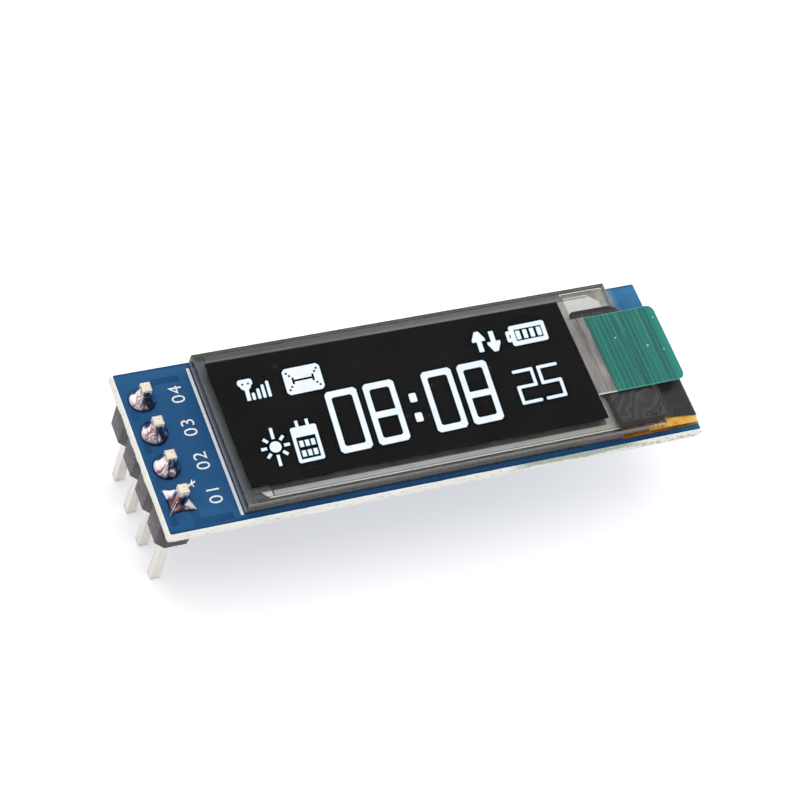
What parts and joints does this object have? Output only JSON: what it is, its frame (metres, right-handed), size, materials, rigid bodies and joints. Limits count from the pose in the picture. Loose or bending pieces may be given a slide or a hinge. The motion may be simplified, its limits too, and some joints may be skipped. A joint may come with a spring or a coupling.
{
  "type": "small oled display module",
  "caption": "Narrow glass display panel on a blue circuit board, with a pin header at one end and a folded flex at the other.",
  "frame": {"origin": "middle of the four header pins, on the underside of the header's moulded strip", "axes": "+X along the board from the header to the flex, +Y across it towards the last pin, +Z out of the display's face"},
  "size_m": [0.0383, 0.0122, 0.0113],
  "materials": {
    "blue_board": "satin blue solder mask over glass-fibre board, bare cream edges",
    "strip_plastic": "moulded, dark grey",
    "pin_metal": "tin-plated brass",
    "solder": "bright tin solder",
    "white_foam_tape": "double-sided tape",
    "rear_glass": "clear, seen against the board",
    "drying_sheet": "matt white",
    "seal_resin": "blue-grey resin with fine grains",
    "track_metal": "satin metal film",
    "emitter": "black",
    "front_glass": "clear",
    "polariser": "black, smooth",
    "clear_film": "clear film",
    "green_tab": "green film with fine lines",
    "black_tape": "black tape",
    "silicon": "polished silicon",
    "amber_flex": "amber polyimide",
    "chip_package": "moulded black",
    "capacitor_ceramic": "tan ceramic, tinned ends",
    "resistor_ceramic": "black glaze, tinned ends"
  },
  "bodies": {
    "root": {"circuit_board": "blue_board", "header_strip": "strip_plastic", "header_pin_1": "pin_metal", "header_pin_2": "pin_metal", "header_pin_3": "pin_metal", "header_pin_4": "pin_metal", "solder_joint_1": "solder", "solder_joint_2": "solder", "solder_joint_3": "solder", "solder_joint_4": "solder", "mounting_tape": "white_foam_tape", "rear_glass": "rear_glass", "drying_sheet": "drying_sheet", "edge_seal": "seal_resin", "conductor_tracks": "track_metal", "emitter_layer": "emitter", "front_glass": "front_glass", "polariser": "polariser", "protective_film": "clear_film", "pull_tab": "green_tab", "light_shield_tape": "black_tape", "driver_chip": "silicon", "flex_cable": "amber_flex", "flex_solder": "solder", "regulator": "chip_package", "capacitor_1": "capacitor_ceramic", "capacitor_2": "capacitor_ceramic", "capacitor_3": "capacitor_ceramic", "capacitor_4": "capacitor_ceramic", "capacitor_5": "capacitor_ceramic", "capacitor_6": "capacitor_ceramic", "resistor_1": "resistor_ceramic", "resistor_2": "resistor_ceramic", "resistor_3": "resistor_ceramic", "resistor_4": "resistor_ceramic"}
  },
  "joints": []
}
